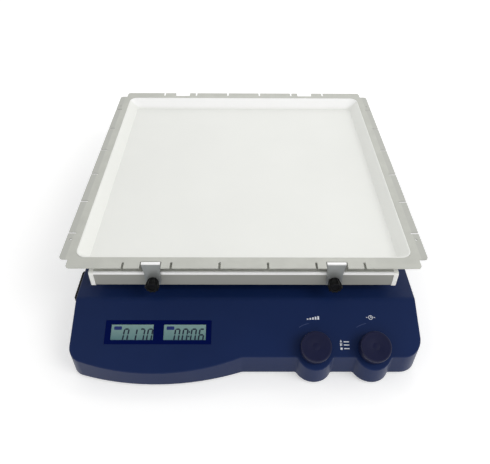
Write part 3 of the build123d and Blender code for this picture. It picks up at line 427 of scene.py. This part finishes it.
def ring_plate(mesh, radius, width, low, high, start=0.0, end=360.0, steps=40):
    """Adds a flat ring or arc of a given line width to a bmesh."""
    closed = end - start >= 360
    count = steps if closed else steps + 1
    inner, outer = radius - width / 2, radius + width / 2
    rows = []
    for i in range(count):
        a = math.radians(start + (end - start) * i / steps)
        rows.append([mesh.verts.new((r * math.cos(a), r * math.sin(a), z))
                     for r, z in ((inner, low), (outer, low), (outer, high), (inner, high))])
    for one, two in zip(rows, rows[1:] + (rows[:1] if closed else [])):
        for k in range(4):
            m = (k + 1) % 4
            mesh.faces.new((one[k], one[m], two[m], two[k]))
    if not closed:
        mesh.faces.new(rows[0])
        mesh.faces.new(rows[-1][::-1])


# Knobs

def knob_profile():
    """Half the section of a control knob, as radii and heights.

    It runs from the spindle's bore down the hollow to the foot, then up the outside, over a
    round rim and across a shallow dish.
    """
    hollow = [(0, 11.2), (2.9, 11.2), (3.02, 11.0), (3.02, 6.45), (8.5, 6.45), (8.5, 2.6),
              (8.9, 2.2), (15.8, 2.2)]
    outside = [(15.8, 2.2), (16.0, 2.5), (16.1, 12.0)] + arc((14.4, 12.3), 1.7, 0, 90, 12)
    dish = [(13.6, 13.96), (12.8, 13.86), (11.8, 13.8), (4.3, 13.8), (4.1, 13.74), (3.7, 13.74),
            (3.5, 13.8), (0, 13.8)]
    return hollow + outside + dish


for name, x in KNOB_XS.items():
    knob = finish_mesh(name + "_knob_cap", lathe(knob_profile()), on_panel(x, KNOB_DOWN),
                       knob_plastic, name + "_dial", smooth=30)
    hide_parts(name + "_knob")


# Thumb screws

GRIP_START = 3.8
GRIP_END = 14.3
GRIP_FLUTES = 10
FLUTE_DEPTH = 1.15


def grip_profile():
    """Half the section of a thumb screw: stud, neck, flared grip and a recessed end."""
    start, end = GRIP_START, GRIP_END
    stud = [(0, -6.5), (2.1, -6.5), (2.5, -6.0), (2.5, start)]
    grip = [(5.6, start), (6.2, start + 0.6), (6.6, start + 3), (7.4, start + 6),
            (7.7, start + 7.5)]
    rim = arc((6.7, end - 1.0), 1.0, 0, 90, 6)
    recess = [(4.6, end), (4.2, end - 0.3), (4.0, end - 1.1), (0, end - 1.1)]
    return stud + grip + rim + recess


def on_grip(radius, height):
    """Tells the fluted outside of the grip from the stud, the back and the recess."""
    return height > 4.0 and radius > 5.0


def on_bar(x):
    """The place of a thumb screw, with its own Z out of the bar's front face."""
    forward = Matrix.Rotation(math.radians(90), 4, "X")
    return Matrix.Translation((x, TRAY_Y - BAR_FACE, SCREW_Z)) @ forward


for name, x in CLAMP_XS.items():
    mesh = lathe(grip_profile(), GRIP_FLUTES, FLUTE_DEPTH, on_grip)
    screw = finish_mesh(name + "_thumb_grip", mesh, on_bar(x), black_plastic, name + "_screw",
                        smooth=38)
    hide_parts(name + "_thumb_screw")


# Digits and tags on the displays

SEGMENTS = {"0": "abcdef", "1": "bc", "7": "abc", "6": "acdefg"}
DIGIT_WIDTH = 4.6
DIGIT_HEIGHT = 12.2
DIGIT_LEAN = 0.12
DIGIT_BASE = -8.9
DIGIT_FLOOR = -DISPLAY_HEIGHT / 2 + 0.25  # the digits are cut off below it
STROKE = 1.55
SEGMENT_GAP = 0.18
DOT_HALF = 0.75
TAG_SPAN = (-DISPLAY_WIDTH / 2 + 3.0, 2.5, -DISPLAY_WIDTH / 2 + 11.2, 6.2)
TAG_ROUND = 0.9
INK_LOW = DISPLAY_FACE + 0.005
INK_HIGH = DISPLAY_FACE + 0.06


def segment_shapes():
    """The seven bars of a digit as six-sided outlines, from its lower left corner."""
    w, h, s = DIGIT_WIDTH, DIGIT_HEIGHT, STROKE / 2

    def bar(x0, y0, x1, y1):
        if y0 == y1:
            x0, x1 = x0 + SEGMENT_GAP, x1 - SEGMENT_GAP
            return [(x0, y0), (x0 + s, y0 - s), (x1 - s, y0 - s), (x1, y0), (x1 - s, y0 + s),
                    (x0 + s, y0 + s)]
        y0, y1 = y0 + SEGMENT_GAP, y1 - SEGMENT_GAP
        return [(x0, y0), (x0 + s, y0 + s), (x0 + s, y1 - s), (x0, y1), (x0 - s, y1 - s),
                (x0 - s, y0 + s)]

    return {
        "a": bar(0, h, w, h), "b": bar(w, h / 2, w, h), "c": bar(w, 0, w, h / 2),
        "d": bar(0, 0, w, 0), "e": bar(0, 0, 0, h / 2), "f": bar(0, h / 2, 0, h),
        "g": bar(0, h / 2, w, h / 2),
    }


def clipped(points, low):
    """An outline cut off below a height."""
    made = []
    for (x0, y0), (x1, y1) in zip(points, points[1:] + points[:1]):
        if y0 >= low:
            made.append((x0, y0))
        if (y0 >= low) != (y1 >= low):
            share = (low - y0) / (y1 - y0)
            made.append((x0 + share * (x1 - x0), low))
    return made


def digits(name, text, lefts, dots=()):
    """Puts leaning seven-bar digits and dots on a display, as flat pieces just above its face."""
    mesh = bmesh.new()
    shapes = segment_shapes()
    for mark, left in zip(text, lefts):
        for key in SEGMENTS[mark]:
            points = [(left + x + DIGIT_LEAN * y, DIGIT_BASE + y) for x, y in shapes[key]]
            points = clipped(points, DIGIT_FLOOR)
            if len(points) > 2:
                flat(mesh, points, INK_LOW, INK_HIGH)
    for x, y in dots:
        oblong(mesh, x - DOT_HALF, y - DOT_HALF, x + DOT_HALF, y + DOT_HALF, INK_LOW, INK_HIGH)
    finish_mesh(name + "_digits", mesh, on_panel(DISPLAY_XS[name], WINDOW_DOWN), segment_ink,
                "root")


def tag(name):
    """Puts a small round-cornered tag above the digits of a display."""
    mesh = bmesh.new()
    x0, y0, x1, y1 = TAG_SPAN
    left, right, lower, upper = x0 + TAG_ROUND, x1 - TAG_ROUND, y0 + TAG_ROUND, y1 - TAG_ROUND
    corners = ((right, upper), (left, upper), (left, lower), (right, lower))
    points = []
    for start, corner in zip((0, 90, 180, 270), corners):
        points += arc(corner, TAG_ROUND, start, start + 90, 5)
    flat(mesh, points, INK_LOW, INK_HIGH)
    finish_mesh(name + "_tag", mesh, on_panel(DISPLAY_XS[name], WINDOW_DOWN), tag_ink, "root")


digits("speed", "0170", [-9.6, -0.9, 7.3, 15.7])
tag("speed")
digits("time", "0006", [-11.2, -2.7, 6.2, 14.6], [(4.3, -4.6), (4.9, 0.3)])
tag("time")


# Marks printed on the panel, in place of the words there

MARK_LOW = 0.004
MARK_HIGH = 0.06
ARC_HIGH = 0.03


def marks(name, x, down, draw, material=ink_white, high=MARK_HIGH):
    """Flat printed marks on the panel."""
    mesh = bmesh.new()
    draw(mesh, MARK_LOW, high)
    finish_mesh(name, mesh, on_panel(x, down), material, "root")


def rising_bars(mesh, low, high):
    """Five bars that rise to the right, for speed."""
    left, pitch, width, foot = -6.6, 2.85, 1.7, -1.8
    shortest, growth = 1.2, 0.66
    for i in range(5):
        x = left + pitch * i
        oblong(mesh, x, foot, x + width, foot + shortest + growth * i, low, high)


def clock(mesh, low, high):
    """A clock face with two hands between two ticks, for time."""
    ring_plate(mesh, 2.1, 0.6, low, high)
    oblong(mesh, -0.3, -0.1, 0.3, 1.5, low, high)
    oblong(mesh, 0.3, -0.3, 1.4, 0.3, low, high)
    oblong(mesh, -4.8, -0.35, -3.3, 0.35, low, high)
    oblong(mesh, 3.3, -0.35, 4.8, 0.35, low, high)


def push_marks(mesh, low, high):
    """An arrow on a line, a triangle and a square, each with a short bar at its right."""
    flat(mesh, [(-4.6, 3.9), (-2.4, 3.9), (-3.5, 2.3)], low, high)
    oblong(mesh, -3.85, 3.9, -3.15, 5.2, low, high)
    oblong(mesh, -4.8, 1.5, -2.2, 2.0, low, high)
    flat(mesh, [(-4.5, -1.3), (-2.0, 0.0), (-4.5, 1.3)], low, high)
    oblong(mesh, -4.5, -4.9, -2.3, -2.7, low, high)
    for y in (3.3, 0.0, -3.8):
        oblong(mesh, -0.6, y - 0.5, 5.0, y + 0.5, low, high)


def dial_arc(mesh, low, high):
    """A thin arc above a knob, a little to its left."""
    ring_plate(mesh, 27.6, 0.35, low, high, start=100, end=124, steps=14)


marks("speed_mark", 72.1, 21.6, rising_bars)
marks("time_mark", 134.0, 20.9, clock)
marks("push_mark", 103.6, 50.4, push_marks)
for name, x in KNOB_XS.items():
    marks(name + "_arc", x, KNOB_DOWN, dial_arc, ink_faint, ARC_HIGH)


# Symbols of the power switch: a bar and a ring on the rocker's two halves

SYMBOL_ALONG = 7.4
SYMBOL_HIGH = 0.08


def on_rocker(side):
    """The place of a symbol; the rocker leans five degrees, and its halves lean five more."""
    centre = Matrix.Translation(ROCKER_CENTRE) @ Matrix.Rotation(ROCKER_LEAN, 4, "Z")
    turned = Matrix.Rotation(side * ROCKER_LEAN, 4, "Z")
    half = centre @ Matrix.Translation((-ROCKER_FACE, 0, 0)) @ turned
    face = half @ Matrix.Translation((0, side * SYMBOL_ALONG, 0))
    outward = Matrix.Rotation(math.radians(-90), 4, "Z")
    return face @ outward @ Matrix.Rotation(math.radians(90), 4, "X")


for name, side in (("on", 1), ("off", -1)):
    mesh = bmesh.new()
    if name == "on":
        oblong(mesh, -0.4, -2.4, 0.4, 2.4, 0.0, SYMBOL_HIGH)
    else:
        ring_plate(mesh, 2.2, 0.7, 0.0, SYMBOL_HIGH)
    finish_mesh("rocker_" + name, mesh, on_rocker(side), ink_white, "rocker")


# Studio: floor, world and lamps, in metres

FLOOR_HALF = 20.0
FLOOR_GLOW = 0.39
SKY_PALE = (0.72, (0.86, 0.86, 0.85, 1))
SKY_DARK = (0.97, (0.2, 0.2, 0.21, 1))
LAMP_TARGET = (0, 0, 0.05)


def studio_white():
    """The white of the floor: it takes the object's shadow, and shows white outside of it.

    Only the camera and glossy reflections see its glow.
    """
    made = principled("studio_white", (0.8, 0.8, 0.8, 1.0), 0.9, Specular_IOR_Level=0.1)
    path = add(made, "ShaderNodeLightPath").outputs
    seen = maths(made, "MAXIMUM", path["Is Camera Ray"], path["Is Glossy Ray"])
    strength = maths(made, "MULTIPLY", seen, FLOOR_GLOW)
    glow = add(made, "ShaderNodeEmission", {"Color": WHITE, "Strength": strength})
    surface = made.node_tree.nodes["Principled BSDF"]
    both = add(made, "ShaderNodeAddShader", {0: surface.outputs[0], 1: glow.outputs[0]})
    feed(made, both.outputs[0], made.node_tree.nodes["Material Output"].inputs["Surface"])
    return made


def studio_floor():
    """A wide floor that is no piece of the object."""
    mesh = bmesh.new()
    bmesh.ops.create_grid(mesh, x_segments=2, y_segments=2, size=FLOOR_HALF)
    data = bpy.data.meshes.new("studio_floor")
    mesh.to_mesh(data)
    mesh.free()
    data.materials.append(studio_white())
    piece = put("studio_floor", data)


def studio_world():
    """A pale sky that is darker overhead; the camera sees plain white."""
    world = bpy.data.worlds.new("studio")
    bpy.context.scene.world = world
    world.use_nodes = True
    place = add(world, "ShaderNodeTexCoord").outputs["Generated"]
    split = add(world, "ShaderNodeSeparateXYZ", {"Vector": place})
    sky = ramp(world, split.outputs["Z"], SKY_PALE, SKY_DARK)
    path = add(world, "ShaderNodeLightPath")
    background = world.node_tree.nodes["Background"]
    colour = mixed(world, path.outputs["Is Camera Ray"], sky, WHITE)
    feed(world, colour, background.inputs["Color"])
    background.inputs["Strength"].default_value = 1.0


def lamp(name, position, size, power, glossy=True):
    """A square area lamp that faces the middle of the object, unseen by the camera."""
    data = bpy.data.lights.new(name, "AREA")
    data.shape = "SQUARE"
    data.size = size
    data.energy = power
    piece = put(name, data)
    piece.location = position
    toward = Vector(LAMP_TARGET) - Vector(position)
    piece.rotation_euler = toward.to_track_quat("-Z", "Y").to_euler()
    piece.visible_glossy = glossy
    piece.visible_camera = False


studio_floor()
studio_world()
lamp("key_lamp", (1.3, -0.9, 1.5), size=1.0, power=12, glossy=False)
lamp("back_lamp", (0.2, 1.5, 1.6), size=1.4, power=6)


# Camera, from a fit to the photograph. FOCAL, PRINCIPAL and SIZE are in its pixels, CAMERA_PLACE
# is in metres and SENSOR in millimetres.

FOCAL = 498.27
PRINCIPAL = (245.0, 232.9)
SIZE = (490.0, 464.0)
PITCH, YAW, ROLL = (math.radians(a) for a in (42.146, 0.397, -0.385))
CAMERA_PLACE = (-0.0038, -0.51058, 0.47413)
SENSOR = 36.0


def photo_camera():
    """A camera that stands where the photograph was taken from."""
    data = bpy.data.cameras.new("camera")
    camera = put("camera", data)
    bpy.context.scene.camera = camera
    ahead = Vector((math.sin(YAW) * math.cos(PITCH), math.cos(YAW) * math.cos(PITCH),
                    -math.sin(PITCH)))
    right = Vector((math.cos(YAW), -math.sin(YAW), 0))
    down = ahead.cross(right)
    across = math.cos(ROLL) * right + math.sin(ROLL) * down
    below = -math.sin(ROLL) * right + math.cos(ROLL) * down
    turn = Matrix((across, -below, -ahead)).transposed().to_4x4()
    camera.matrix_world = Matrix.Translation(CAMERA_PLACE) @ turn
    data.sensor_width = SENSOR
    data.lens = FOCAL * SENSOR / SIZE[0]
    data.shift_x = (SIZE[0] / 2 - PRINCIPAL[0]) / SIZE[0]
    data.shift_y = (PRINCIPAL[1] - SIZE[1] / 2) / SIZE[0]
    data.clip_start = 0.01


photo_camera()

bpy.context.scene.view_settings.view_transform = "Standard"
